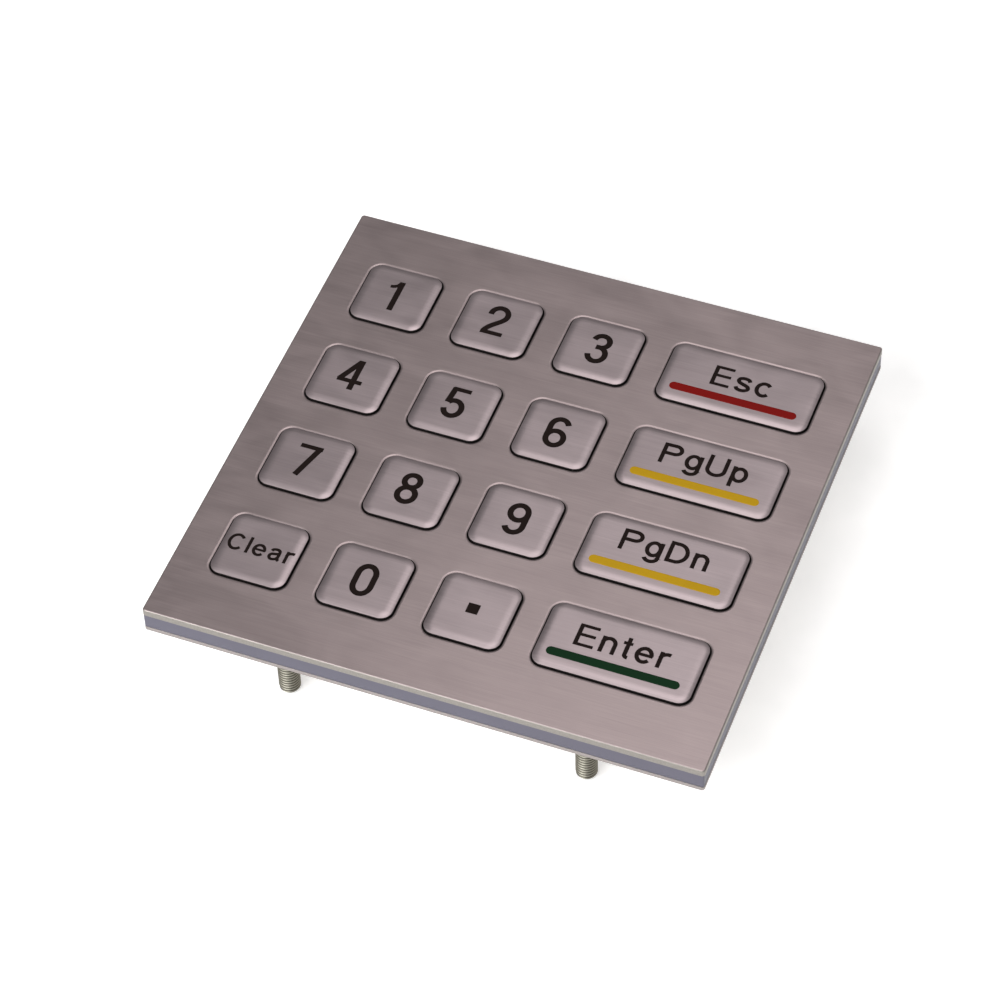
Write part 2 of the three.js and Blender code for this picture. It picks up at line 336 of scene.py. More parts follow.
def brushed_steel(name, color, roughness, contrast=1.0):
    """Steel brushed along X: fine streaks, faint clouds from handling, stretched highlights."""
    nodes = Nodes(name, color, roughness, 1.0, Anisotropic=0.55)
    fine = nodes.noise((110, 9000, 400), 2.0)
    coarse = nodes.noise((70, 3200, 300), 3.0)
    clouds = nodes.noise((80, 150, 150), 4.0, 0.6)
    streaks = nodes.math("ADD", nodes.math("MULTIPLY", fine, 0.55),
                         nodes.math("MULTIPLY", coarse, 0.45))
    light = nodes.spread(streaks, 1 - 0.07 * contrast, 1 + 0.07 * contrast)
    haze = nodes.spread(clouds, 1 - 0.05 * contrast, 1 + 0.04 * contrast)
    nodes.shade(nodes.math("MULTIPLY", light, haze))
    nodes.rough(nodes.math("ADD", nodes.spread(streaks, -0.03, 0.04),
                           nodes.spread(clouds, roughness - 0.03, roughness + 0.03)))
    nodes.bump(streaks, 0.004)
    grain = nodes.add("ShaderNodeCombineXYZ", {"Y": 1.0})
    nodes.tree.links.new(grain.outputs["Vector"], nodes.shader.inputs["Tangent"])
    return nodes.material


def cut_steel(name, color, roughness):
    """The sawn edge of a steel sheet: pale, dull and speckled; given a near-black colour, it is also
    the painted shade in the gaps round the keys.
    """
    nodes = Nodes(name, color, roughness, 1.0)
    grit = nodes.noise((3600, 3600, 2200), 4.0)
    runs = nodes.noise((500, 500, 5200), 2.0)
    nodes.shade(nodes.math("MULTIPLY", nodes.spread(grit, 0.86, 1.12),
                           nodes.spread(runs, 0.95, 1.05)))
    nodes.rough(nodes.spread(grit, roughness - 0.08, roughness + 0.1))
    nodes.bump(grit, 0.02)
    return nodes.material


def moulded(name, color, roughness, grain=2600, depth=0.008, **sockets):
    """Plastic, rubber or lacquer with a fine moulded texture and a slight drift of tone."""
    nodes = Nodes(name, color, roughness, **sockets)
    skin = nodes.noise((grain, grain, grain), 3.0)
    drift = nodes.noise((90, 90, 90), 2.0)
    nodes.shade(nodes.math("MULTIPLY", nodes.spread(skin, 0.97, 1.03),
                           nodes.spread(drift, 0.95, 1.05)))
    nodes.rough(nodes.spread(skin, roughness - 0.05, roughness + 0.05))
    nodes.bump(skin, depth)
    return nodes.material


def turned_steel(name, color, roughness):
    """Rolled or turned steel with faint rings round its axis and a little tarnish."""
    nodes = Nodes(name, color, roughness, 1.0)
    rings = nodes.noise((300, 300, 6000), 2.0)
    tarnish = nodes.noise((260, 260, 260), 3.0)
    nodes.shade(nodes.math("MULTIPLY", nodes.spread(rings, 0.94, 1.05),
                           nodes.spread(tarnish, 0.88, 1.08)))
    nodes.rough(nodes.spread(tarnish, roughness - 0.06, roughness + 0.08))
    nodes.bump(rings, 0.005)
    return nodes.material


DULL = {"Specular IOR Level": 0.08}
PANEL_STEEL = brushed_steel("panel_brushed_steel", (0.42, 0.348, 0.351), 0.36, 1.2)
KEY_STEEL = brushed_steel("key_brushed_steel", (0.465, 0.393, 0.408), 0.36, 1.2)
EDGE_STEEL = cut_steel("cut_edge_steel", (0.33, 0.31, 0.285), 0.48)
# Near-black copy of the cut edge: painted shade for the dark gap round each key, on the windows'
# walls and the keys' sides.
GAP_SHADE_STEEL = cut_steel("painted_gap_shade_steel", (0.06, 0.054, 0.053), 0.6)
PLATE_STEEL = brushed_steel("back_plate_steel", (0.56, 0.53, 0.5), 0.4, 0.6)
PLATE_EDGE_STEEL = cut_steel("back_plate_edge_steel", (0.37, 0.335, 0.325), 0.45)
STUD_STEEL = turned_steel("stud_steel", (0.33, 0.32, 0.27), 0.4)
# Darker steel for the thread's roots and lower flanks: painted shade in the thread's grooves.
ROOT_SHADE_STEEL = turned_steel("thread_root_painted_shade", (0.11, 0.104, 0.084), 0.55)
SCREW_STEEL = turned_steel("screw_steel", (0.55, 0.54, 0.52), 0.3)
SPACER_PLASTIC = moulded("spacer_plastic", (0.105, 0.1, 0.14), 0.45)
SILICONE = moulded("black_silicone", (0.03, 0.03, 0.033), 0.65, 1800, 0.01)
BOARD_MASK = moulded("solder_mask_green", (0.012, 0.11, 0.045), 0.32, 1200, 0.004)
HEADER_PLASTIC = moulded("header_plastic", (0.015, 0.015, 0.017), 0.45, 3000)
PIN_METAL = turned_steel("gilt_pin", (0.78, 0.58, 0.25), 0.22)
LEGEND_FILL = moulded("legend_fill", (0.012, 0.007, 0.006), 0.6, 4200, 0.006, **DULL)
RED_FILL = moulded("red_enamel", (0.2, 0.006, 0.005), 0.45, 3200, 0.004, **DULL)
YELLOW_FILL = moulded("yellow_enamel", (0.48, 0.285, 0.01), 0.45, 3200, 0.004, **DULL)
GREEN_FILL = moulded("green_enamel", (0.004, 0.026, 0.009), 0.45, 3200, 0.004, **DULL)


# ---------------------------------------------------------------- plates and frame

def key_place(name):
    """Centre, width and depth of a key's cap, and the height of its top."""
    low, high = box_mm(name)
    return ((low.x + high.x) / 2, (low.y + high.y) / 2,
            high.x - low.x - 2 * KEY_FLANGE, high.y - low.y - 2 * KEY_FLANGE, high.z)


def front_panel():
    """The brushed panel with a softly rimmed window round each key."""
    shell = Shell()
    width, depth = PANEL_HIGH.x - PANEL_LOW.x, PANEL_HIGH.y - PANEL_LOW.y
    outer = rounded_rectangle(0, 0, width, depth, PANEL_CORNER_RADIUS)
    rings = [shell.ring(outer(inset), z) for inset, z in roll_over(PANEL_ROLL, PANEL_TURN, FACE_Z)]
    rings.append(shell.ring(outer(), PANEL_LOW.z))
    for index, (upper, lower) in enumerate(zip(rings, rings[1:])):
        shell.wall(upper, lower, int(index > ROLL_STEPS / 2))
    top, bottom = [rings[0]], [rings[-1]]
    for name in KEY_NAMES:
        x, y, key_width, key_depth, _ = key_place(name)
        window = rounded_rectangle(x, y, key_width + 2 * KEY_GAP, key_depth + 2 * KEY_GAP,
                                   KEY_CORNER_RADIUS + KEY_GAP)
        rim = [shell.ring(window(-inset), z) for inset, z in roll_over(RIM_ROLL, RIM_TURN, FACE_Z)]
        rim.append(shell.ring(window(), PANEL_LOW.z))
        for upper, lower in zip(rim, rim[1:]):
            # The window's upright wall gets the near-black painted gap shade.
            shell.wall(lower, upper, 2 if lower is rim[-1] else 0)
        top.append(rim[0])
        bottom.append(rim[-1])
    shell.sheet(top)
    shell.sheet(bottom, down=True, material=1)
    shell.piece("panel_face", [PANEL_STEEL, EDGE_STEEL, GAP_SHADE_STEEL], "housing", "brushed_steel",
                ["front_panel"], sharp=25)


def key_cap(name):
    """One key: a cap with a pillowed top edge on the flange that holds it behind the panel."""
    shell = Shell()
    x, y, width, depth, top = key_place(name)
    flange_z = box_mm(name)[0].z
    outline = rounded_rectangle(x, y, width, depth, KEY_CORNER_RADIUS)
    rolled = pillow(KEY_ROLL, KEY_TURN, top)
    profile = rolled + [
        (0, flange_z + KEY_FLANGE_THICKNESS), (KEY_FLANGE, flange_z + KEY_FLANGE_THICKNESS),
        (KEY_FLANGE, flange_z)]
    rings = [shell.ring(outline(inset), z) for inset, z in profile]
    for index, (upper, lower) in enumerate(zip(rings, rings[1:])):
        # From the roll's foot down, the key's side and flange get the near-black painted gap shade.
        shell.wall(upper, lower, int(index >= len(rolled) - 1))
    shell.cap(rings[0])
    shell.cap(rings[-1], down=True, material=1)
    shell.piece(f"{name}_cap", [KEY_STEEL, GAP_SHADE_STEEL], name, "key_steel", [name], sharp=25)


def hole(shell, outline, profile, material=0):
    """The wall of a hole from its upper ring to its lower ring, and those two rings."""
    rings = [shell.ring(outline(grow), z) for grow, z in profile]
    for upper, lower in zip(rings, rings[1:]):
        shell.wall(lower, upper, material)
    return rings[0], rings[-1]


def centre_of(node):
    low, high = box_mm(node)
    return (low.x + high.x) / 2, (low.y + high.y) / 2


STUDS = [node for node in frame["nodes"] if node.startswith("stud_")]
SCREWS = [node for node in frame["nodes"] if node.startswith("screw_")]
PINS = [node for node in frame["nodes"] if node.startswith("header_pin_")]


def spacer():
    """The moulded frame between the plates, with its cavity, stud bores and blind screw holes."""
    shell = Shell()
    low, high = SPACER_LOW, SPACER_HIGH
    outer = rounded_rectangle(0, 0, high.x - low.x, high.y - low.y, SPACER_CORNER_RADIUS)
    rolled = roll_over(SPACER_ROLL, 90, high.z)
    profile = rolled + [(grow, low.z + high.z - z) for grow, z in reversed(rolled)]
    rings = [shell.ring(outer(grow), z) for grow, z in profile]
    for upper, lower in zip(rings, rings[1:]):
        shell.wall(upper, lower)
    top, bottom = [rings[0]], [rings[-1]]
    cavity = rounded_rectangle(0, 0, CAVITY_WIDTH, CAVITY_DEPTH, CAVITY_CORNER_RADIUS)
    upper, lower = hole(shell, cavity, [(0, high.z), (0, low.z)])
    top.append(upper)
    bottom.append(lower)
    flange_z = high.z - STUD_FLANGE_THICKNESS - STUD_HOLE_GAP
    flange_step = STUD_FLANGE_RADIUS - STUD_RADIUS
    for node in STUDS:
        bore = circle(*centre_of(node), STUD_RADIUS + STUD_HOLE_GAP)
        upper, lower = hole(shell, bore, [(flange_step, high.z), (flange_step, flange_z),
                                          (0, flange_z), (0, low.z)])
        top.append(upper)
        bottom.append(lower)
    for node in SCREWS:
        screw_top = box_mm(node)[1].z
        thread = circle(*centre_of(node), SCREW_SHANK_RADIUS + SCREW_HOLE_GAP)
        upper, lower = hole(shell, thread, [(0, screw_top + SCREW_HOLE_GAP), (0, low.z)])
        shell.cap(upper, down=True)
        bottom.append(lower)
    shell.sheet(top)
    shell.sheet(bottom, down=True)
    shell.piece("spacer_band", [SPACER_PLASTIC], "housing", "spacer_plastic", ["spacer_frame"])


def header_window():
    low, high = box_mm("header_block")
    return rounded_rectangle((low.x + high.x) / 2, (low.y + high.y) / 2,
                             high.x - low.x + 2 * WINDOW_MARGIN, high.y - low.y + 2 * WINDOW_MARGIN,
                             WINDOW_MARGIN)


def back_plate():
    """The thin rear plate, with stud holes, countersinks and the header's window."""
    shell = Shell()
    low, high = PLATE_LOW, PLATE_HIGH
    outer = rounded_rectangle(0, 0, high.x - low.x, high.y - low.y, PLATE_CORNER_RADIUS)
    rolled = roll_over(PLATE_ROLL, 90, high.z, 4)
    profile = rolled + [(grow, low.z + high.z - z) for grow, z in reversed(rolled)]
    rings = [shell.ring(outer(grow), z) for grow, z in profile]
    for index, (upper, lower) in enumerate(zip(rings, rings[1:])):
        shell.wall(upper, lower, int(index > 0 and index < len(rings) - 2))
    top, bottom = [rings[0]], [rings[-1]]
    through = [(PLATE_ROLL, high.z), (0, high.z - PLATE_ROLL),
               (0, low.z + PLATE_ROLL), (PLATE_ROLL, low.z)]
    outlines = [circle(*centre_of(node), STUD_RADIUS + STUD_HOLE_GAP) for node in STUDS]
    for outline in [*outlines, header_window()]:
        upper, lower = hole(shell, outline, through, 1)
        top.append(upper)
        bottom.append(lower)
    for node in SCREWS:
        head = (box_mm(node)[1].x - box_mm(node)[0].x) / 2
        cone = circle(*centre_of(node), head + SCREW_HOLE_GAP)
        sunk = SCREW_HEAD_EDGE - high.z
        upper, lower = hole(shell, cone, [(sunk, high.z), (0, SCREW_HEAD_EDGE), (0, low.z)], 1)
        top.append(upper)
        bottom.append(lower)
    shell.sheet(top)
    shell.sheet(bottom, down=True)
    shell.piece("rear_cover", [PLATE_STEEL, PLATE_EDGE_STEEL], "housing", "plate_steel",
                ["back_plate"])


def revolved(shell, x, y, profile, steps=48, material=0):
    """A closed turned shape whose profile of radii and heights runs from its top to its bottom."""
    rings = [shell.ring(circle(x, y, radius, steps)(), z) for radius, z in profile]
    for upper, lower in zip(rings, rings[1:]):
        shell.wall(upper, lower, material)
    shell.cap(rings[0], material=material)
    shell.cap(rings[-1], down=True, material=material)


def thread_radius(row):
    """The thread's radius at a row of its pitch: a flat crest, two flanks and a flat root."""
    crest, flank_end = THREAD_ROWS // 8, THREAD_ROWS // 2
    phase = row % THREAD_ROWS
    if phase <= crest:
        fall = 0
    elif phase <= flank_end:
        fall = (phase - crest) / (flank_end - crest)
    elif phase <= flank_end + crest:
        fall = 1
    else:
        fall = (THREAD_ROWS - phase) / (THREAD_ROWS - flank_end - crest)
    return STUD_RADIUS - THREAD_DEPTH * fall


def stud(node):
    """A stud with a real helical thread: one grid of rows whose seam climbs by a pitch."""
    low, high = box_mm(node)
    x, y = centre_of(node)
    flange_z = high.z - STUD_FLANGE_THICKNESS
    row_height = THREAD_PITCH / THREAD_ROWS
    rows = math.ceil((flange_z - low.z) / row_height) + 2 * THREAD_ROWS
    shell = Shell()
    grid = []
    for row in range(rows):
        radius = thread_radius(row)
        ring = []
        for column in range(THREAD_COLUMNS):
            turn = column / THREAD_COLUMNS
            angle = 2 * math.pi * turn
            z = low.z + (row - THREAD_ROWS + turn * THREAD_ROWS) * row_height
            ring.append(shell.mesh.verts.new(
                ((x + radius * math.cos(angle)) * MM, (y + radius * math.sin(angle)) * MM, z * MM)))
        grid.append(ring)
    for row in range(rows - 1):
        # Faces down in the thread's root take the darker steel, a painted shade in the grooves.
        root = int(max(thread_radius(row), thread_radius(row + 1)) < STUD_RADIUS - THREAD_DEPTH / 4)
        for column in range(THREAD_COLUMNS - 1):
            face = shell.mesh.faces.new((grid[row][column], grid[row][column + 1],
                                         grid[row + 1][column + 1], grid[row + 1][column]))
            face.material_index = root
        if row + 1 + THREAD_ROWS < rows:
            face = shell.mesh.faces.new((grid[row][-1], grid[row + THREAD_ROWS][0],
                                         grid[row + 1 + THREAD_ROWS][0], grid[row + 1][-1]))
            face.material_index = root
    for z, upward in ((low.z, False), (flange_z, True)):
        trim(shell.mesh, z, upward)
    for vertex in shell.mesh.verts:
        offset = Vector((vertex.co.x - x * MM, vertex.co.y - y * MM))
        above_tip = max(vertex.co.z / MM - low.z, 0)
        room = STUD_RADIUS - THREAD_DEPTH + above_tip * THREAD_DEPTH / THREAD_LEAD_IN
        if offset.length > room * MM:
            offset = offset.normalized() * room * MM
            vertex.co.x, vertex.co.y = x * MM + offset.x, y * MM + offset.y
    revolved(shell, x, y, [(STUD_FLANGE_RADIUS, high.z), (STUD_FLANGE_RADIUS, flange_z)])
    shell.piece(f"{node}_thread", [STUD_STEEL, ROOT_SHADE_STEEL], "housing", "stud_steel", [node],
                sharp=50)


def trim(mesh, z, upward):
    """Cuts away everything past a level, above or below it, and closes the cut."""
    bmesh.ops.bisect_plane(mesh, geom=mesh.verts[:] + mesh.edges[:] + mesh.faces[:], dist=1e-8,
                           plane_co=(0, 0, z * MM), plane_no=(0, 0, 1 if upward else -1),
                           clear_outer=True)
    loose = [vertex for vertex in mesh.verts if not vertex.link_faces]
    bmesh.ops.delete(mesh, geom=loose, context="VERTS")
    edges = [edge for edge in mesh.edges if edge.is_boundary
             and all(abs(vertex.co.z - z * MM) < 1e-7 for vertex in edge.verts)]
    made = bmesh.ops.edgeloop_fill(mesh, edges=edges)
    for face in made["faces"]:
        face.normal_update()
        if (face.normal.z > 0) != upward:
            face.normal_flip()


def cross(x, y, grow=0.0, scale=1.0):
    """The outline of a screwdriver's cross, anticlockwise."""
    tip, slot = RECESS_SPAN / 2 * scale, RECESS_SLOT / 2 * scale
    corners = [(slot, -tip), (slot, -slot), (tip, -slot), (tip, slot), (slot, slot), (slot, tip),
               (-slot, tip), (-slot, slot), (-tip, slot), (-tip, -slot), (-slot, -slot),
               (-slot, -tip)]
    return [(x + a, y + b) for a, b in corners]


def screw(node):
    """A countersunk screw with a tapered cross recess in its head."""
    low, high = box_mm(node)
    x, y = centre_of(node)
    head = (high.x - low.x) / 2
    cone_end = SCREW_HEAD_EDGE + head - SCREW_SHANK_RADIUS
    shell = Shell()
    profile = [(SCREW_SHANK_RADIUS - SCREW_POINT, high.z),
               (SCREW_SHANK_RADIUS, high.z - SCREW_POINT),
               (SCREW_SHANK_RADIUS, cone_end), (head, SCREW_HEAD_EDGE),
               (head, SCREW_HEAD_CHAMFER_HEIGHT), (head - SCREW_HEAD_CHAMFER, 0)]
    rings = [shell.ring(circle(x, y, radius)(), z) for radius, z in profile]
    for upper, lower in zip(rings, rings[1:]):
        shell.wall(upper, lower)
    shell.cap(rings[0])
    mouth = shell.ring(cross(x, y), 0)
    seat = shell.ring(cross(x, y, scale=RECESS_TAPER), RECESS_DEPTH)
    shell.sheet([rings[-1], mouth], down=True)
    shell.wall(mouth, seat)
    shell.sheet([seat], down=True)
    shell.piece(f"{node}_head", [SCREW_STEEL], "housing", "screw_steel", [node])


def header():
    """The header's moulded strip, nicked between its pins."""
    low, high = box_mm("header_block")
    pitch = (high.x - low.x) / len(PINS)
    front, back, nick = low.y, high.y, BLOCK_CHAMFER
    edge = []
    for index in range(len(PINS)):
        start = low.x + index * pitch
        edge += [(start, nick), (start + nick, 0), (start + pitch - nick, 0)]
    edge.append((high.x, nick))
    outline = [(x, front + inset) for x, inset in edge]
    outline += [(x, back - inset) for x, inset in reversed(edge)]
    shell = Shell()
    upper, lower = shell.ring(outline, high.z), shell.ring(outline, low.z)
    shell.wall(upper, lower)
    top, bottom = [upper], [lower]
    for node in PINS:
        pin_low, pin_high = box_mm(node)
        side = pin_high.x - pin_low.x + 2 * PIN_HOLE_GAP
        slot = rounded_rectangle(*centre_of(node), side, side, PIN_HOLE_GAP, 1)
        rim, floor = hole(shell, slot, [(0, high.z), (0, low.z)])
        top.append(rim)
        bottom.append(floor)
    shell.sheet(top)
    shell.sheet(bottom, down=True)
    shell.piece("header_strip", [HEADER_PLASTIC], "housing", "header_plastic", ["header_block"])


def pin(node):
    """A square pin with rounded edges and tapered ends."""
    low, high = box_mm(node)
    side = high.x - low.x
    square = rounded_rectangle(*centre_of(node), side, side, side * PIN_ROUNDING, 2)
    point = -side * PIN_TIP_TAPER
    shell = Shell()
    profile = [(point, high.z), (0, high.z - PIN_POINT), (0, low.z + PIN_POINT), (point, low.z)]
    rings = [shell.ring(square(grow), z) for grow, z in profile]
    for upper, lower in zip(rings, rings[1:]):
        shell.wall(upper, lower)
    shell.cap(rings[0])
    shell.cap(rings[-1], down=True)
    shell.piece(f"{node}_contact", [PIN_METAL], "housing", "pin_metal", [node])


def dome(name):
    """One dome of the mat, at rest."""
    node = name.replace("key_", "dome_")
    low, high = box_mm(node)
    x, y = centre_of(node)
    base = (high.x - low.x) / 2
    roof = high.z - DOME_WALL
    shoulder = DOME_TOP_RADIUS - DOME_SHOULDER
    ceiling = roof - DOME_SHOULDER_DROP
    profile = [(DOME_CENTRE_RADIUS, high.z), (shoulder, high.z),
               (DOME_TOP_RADIUS, high.z - DOME_SHOULDER_DROP),
               (base - SKIRT_TAPER, low.z + DOME_LIP + SKIRT_RISE), (base, low.z + DOME_LIP),
               (base, low.z), (base - SKIRT_WALL, low.z), (shoulder, ceiling),
               (CONTACT_RADIUS + CONTACT_TAPER, ceiling),
               (CONTACT_RADIUS, low.z + CONTACT_HEIGHT / 2),
               (CONTACT_RADIUS - CONTACT_TAPER, low.z)]
    shell = Shell()
    revolved(shell, x, y, profile)
    piece = shell.piece(f"{node}_rubber", [SILICONE], "housing", "silicone", [node])
    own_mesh(piece)


# ---------------------------------------------------------------- legends

# Every character is a few strokes of a pen. The unit is the height of a capital, X starts at the
# character's left edge and Y at its baseline, and a stroke is the pen's width with its points.
DIGIT, DIGIT_THIN = 0.149, 0.126
LETTER, LETTER_THIN = 0.16, 0.134
HALF, HALF_THIN = LETTER / 2, LETTER_THIN / 2
ARC_STEPS = 20


def bend(x, y, radius_x, radius_y, start, end):
    return arc(x, y, radius_x, radius_y, start, end, ARC_STEPS)


def ellipse(x, y, radius_x, radius_y):
    return arc(x, y, radius_x, radius_y, 0, 360, 2 * ARC_STEPS)


def bezier(a, b, c, d):
    """Points on the curve from a to d that sets out towards b and comes in from c."""
    points = []
    for i in range(ARC_STEPS + 1):
        t = i / ARC_STEPS
        weights = ((1 - t) ** 3, 3 * t * (1 - t) ** 2, 3 * t * t * (1 - t), t ** 3)
        points.append(tuple(sum(w * p[k] for w, p in zip(weights, (a, b, c, d))) for k in (0, 1)))
    return points


def through(*points, steps=6):
    """A smooth line that passes through the points."""
    ends = [points[0], *points, points[-1]]
    line = []
    for a, b, c, d in zip(ends, ends[1:], ends[2:], ends[3:]):
        for i in range(steps):
            t = i / steps
            line.append(tuple(0.5 * (2 * b[k] + (c[k] - a[k]) * t
                                     + (2 * a[k] - 5 * b[k] + 4 * c[k] - d[k]) * t * t
                                     + (3 * b[k] - a[k] - 3 * c[k] + d[k]) * t ** 3) for k in (0, 1)))
    return line + [points[-1]]


SIX = [(DIGIT, ellipse(0.2925, 0.302, 0.2175, 0.235)),
       (DIGIT, bend(0.2925, 0.69, 0.2175, 0.24, 22, 180) + [(0.075, 0.3)])]
CHARACTERS = {
    "0": (0.585, [(DIGIT, bend(0.2925, 0.66, 0.2175, 0.27, 0, 180)
                   + bend(0.2925, 0.34, 0.2175, 0.27, 180, 360) + [(0.51, 0.66)])]),
    "1": (0.335, [(DIGIT, [(0.26, 0), (0.26, 1)]),
                  (0.1, bezier((0, 0.79), (0.13, 0.79), (0.21, 0.86), (0.225, 0.97)))]),
    "2": (0.585, [(DIGIT, [(0.075, 0.665)] + bend(0.2925, 0.705, 0.2175, 0.225, 180, 0)
                   + bezier((0.51, 0.7), (0.51, 0.47), (0.12, 0.33), (0.085, 0.06))),
                  (DIGIT_THIN, [(0.01, 0.059), (0.585, 0.059)])]),
    "3": (0.585, [(DIGIT, bend(0.2925, 0.73, 0.2, 0.2, 172, -85)),
                  (DIGIT, bend(0.2925, 0.295, 0.2175, 0.24, 92, -170)),
                  (DIGIT, [(0.2, 0.533), (0.3, 0.533)])]),
    "4": (0.66, [(DIGIT, [(0.43, 0), (0.43, 1)]), (DIGIT, [(0.41, 0.97), (0.06, 0.27)]),
                 (DIGIT_THIN, [(0.01, 0.28), (0.66, 0.28)])]),
    "5": (0.585, [(DIGIT, bend(0.29, 0.315, 0.22, 0.255, 138, -170)),
                  (DIGIT, [(0.145, 0.98), (0.095, 0.47)]),
                  (DIGIT_THIN, [(0.1, 0.941), (0.56, 0.941)])]),
    "6": (0.585, SIX),
    "7": (0.585, [(DIGIT_THIN, [(0, 0.941), (0.585, 0.941)]),
                  (DIGIT, [(0.505, 0.95), (0.215, 0)])]),
    "8": (0.585, [(DIGIT, ellipse(0.2925, 0.735, 0.19, 0.195)),
                  (DIGIT, ellipse(0.2925, 0.2975, 0.2175, 0.228))]),
    "9": (0.585, [(pen, [(0.585 - x, 1 - y) for x, y in line]) for pen, line in SIX]),
    ".": (0.3, [(0.3, [(0, 0.5), (0.3, 0.5)])]),
    "C": (0.8, [(LETTER, bend(0.42, 0.5, 0.35, 0.4375, 40, 320))]),
    "D": (0.8, [(LETTER, [(HALF, 0), (HALF, 1)]),
                (LETTER, [(0, 1 - HALF)] + bend(0.35, 0.5, 0.38, 0.5 - HALF, 90, -90)
                 + [(0, HALF)])]),
    "E": (0.75, [(LETTER, [(HALF, 0), (HALF, 1)]),
                 (LETTER_THIN, [(0, 1 - HALF_THIN), (0.75, 1 - HALF_THIN)]),
                 (LETTER_THIN, [(0, 0.52), (0.71, 0.52)]),
                 (LETTER_THIN, [(0, HALF_THIN), (0.75, HALF_THIN)])]),
    "P": (0.79, [(LETTER, [(HALF, 0), (HALF, 1)]),
                 (LETTER, [(0, 1 - HALF)] + bend(0.47, 0.727, 0.25, 0.2055, 90, -90)
                  + [(0, 0.5215)])]),
    "U": (0.79, [(LETTER, [(HALF, 1)] + bend(0.395, 0.33, 0.3275, 0.27, 180, 360)
                  + [(0.7225, 1)])]),
    "a": (0.62, [(LETTER, through((0.085, 0.54), (0.14, 0.64), (0.3, 0.682), (0.45, 0.64),
                                  (0.5, 0.52), (0.5, 0.2), (0.52, 0.09), (0.6, 0.055))),
                 (LETTER, through((0.49, 0.44), (0.3, 0.4), (0.12, 0.345), (0.0675, 0.22),
                                  (0.13, 0.09), (0.27, 0.06), (0.42, 0.12), (0.5, 0.24)))]),
    "c": (0.63, [(LETTER, bend(0.33, 0.37, 0.2625, 0.31, 42, 318))]),
    "e": (0.66, [(LETTER, bend(0.33, 0.37, 0.2625, 0.31, 0, 322)),
                 (LETTER_THIN, [(0.07, 0.385), (0.65, 0.385)])]),
    "g": (0.63, [(LETTER, ellipse(0.31, 0.385, 0.2425, 0.3)),
                 (LETTER, [(0.5625, 0.74), (0.5625, 0)] + bend(0.3125, 0, 0.25, 0.205, 0, -160))]),
    "l": (0.135, [(LETTER, [(HALF, 0), (HALF, 1)])]),
    "n": (0.6, [(LETTER, [(HALF, 0), (HALF, 0.74)]),
                (LETTER, bend(0.3, 0.44, 0.2325, 0.24, 180, 0) + [(0.5325, 0)])]),
    "p": (0.63, [(LETTER, [(HALF, -0.27), (HALF, 0.74)]),
                 (LETTER, ellipse(0.32, 0.37, 0.2425, 0.305))]),
    "r": (0.39, [(LETTER, [(HALF, 0), (HALF, 0.74)]),
                 (LETTER, bend(0.34, 0.45, 0.2725, 0.225, 180, 75))]),
    "s": (0.6, [(LETTER, through((0.53, 0.55), (0.46, 0.645), (0.3, 0.682), (0.14, 0.64),
                                 (0.085, 0.54), (0.15, 0.44), (0.31, 0.375), (0.48, 0.31),
                                 (0.54, 0.2), (0.46, 0.1), (0.3, 0.06), (0.13, 0.1),
                                 (0.06, 0.2)))]),
    "t": (0.35, [(LETTER, [(0.19, 0.95)] + bend(0.32, 0.16, 0.13, 0.1, 180, 275)),
                 (LETTER_THIN, [(0, 0.685), (0.35, 0.685)])]),
}
LETTER_GAP = 0.185

# Each key's legend: its text, its capitals' height, and where its middle and its baseline stand
# from the key's centre, in millimetres.
LEGENDS = {
    "key_1": ("1", DIGIT_HEIGHT, -0.75, -3.7), "key_2": ("2", DIGIT_HEIGHT, -0.2, -3.2),
    "key_3": ("3", DIGIT_HEIGHT, -0.1, -3.5), "key_4": ("4", DIGIT_HEIGHT, -0.3, -3.0),
    "key_5": ("5", DIGIT_HEIGHT, -0.1, -3.2), "key_6": ("6", DIGIT_HEIGHT, -0.3, -3.7),
    "key_7": ("7", DIGIT_HEIGHT, -0.4, -3.5), "key_8": ("8", DIGIT_HEIGHT, -0.5, -3.4),
    "key_9": ("9", DIGIT_HEIGHT, 0, -3.6), "key_0": ("0", DIGIT_HEIGHT, -0.1, -3.9),
    "key_dot": (".", DIGIT_HEIGHT, 0, -3.5), "key_clear": ("Clear", SMALL_WORD_HEIGHT, 0.1, -1.5),
    "key_esc": ("Esc", WORD_HEIGHT, 0.1, -1.25), "key_page_up": ("PgUp", WORD_HEIGHT, -0.1, -0.45),
    "key_page_down": ("PgDn", WORD_HEIGHT, -0.2, -0.15),
    "key_enter": ("Enter", WORD_HEIGHT, -0.05, -1.25),
}
BARS = {"key_esc": ("red_fill", RED_FILL), "key_page_up": ("yellow_fill", YELLOW_FILL),
        "key_page_down": ("yellow_fill", YELLOW_FILL), "key_enter": ("green_fill", GREEN_FILL)}


def stroke_triangles(pen, line):
    """The stroke's area as anticlockwise triangles that meet along its mitred joints."""
    closed = (Vector(line[0]) - Vector(line[-1])).length < 1e-6
    points = [Vector(point) for point in (line[:-1] if closed else line)]
    count = len(points)
    sides = []
    for i, point in enumerate(points):
        before = points[i - 1] if i or closed else None
        after = points[(i + 1) % count] if i < count - 1 or closed else None
        into = (point - before).normalized() if before else (after - point).normalized()
        out = (after - point).normalized() if after else into
        along = (into + out).normalized()
        across = Vector((-along.y, along.x)) * pen / 2 / max(along.dot(into), 0.5)
        sides.append((point - across, point + across))
    joints = list(zip(sides, sides[1:] + sides[:1] if closed else sides[1:]))
    halves = [half for (right, left), (next_right, next_left) in joints
              for half in ([right, next_right, next_left], [right, next_left, left])]
    return [half if (half[1] - half[0]).cross(half[2] - half[0]) > 0 else half[::-1]
            for half in halves]


def holds(polygon, point):
    """Whether a point lies in a convex polygon that runs anticlockwise."""
    return all((b - a).cross(point - a) > 0 for a, b in zip(polygon, polygon[1:] + polygon[:1]))


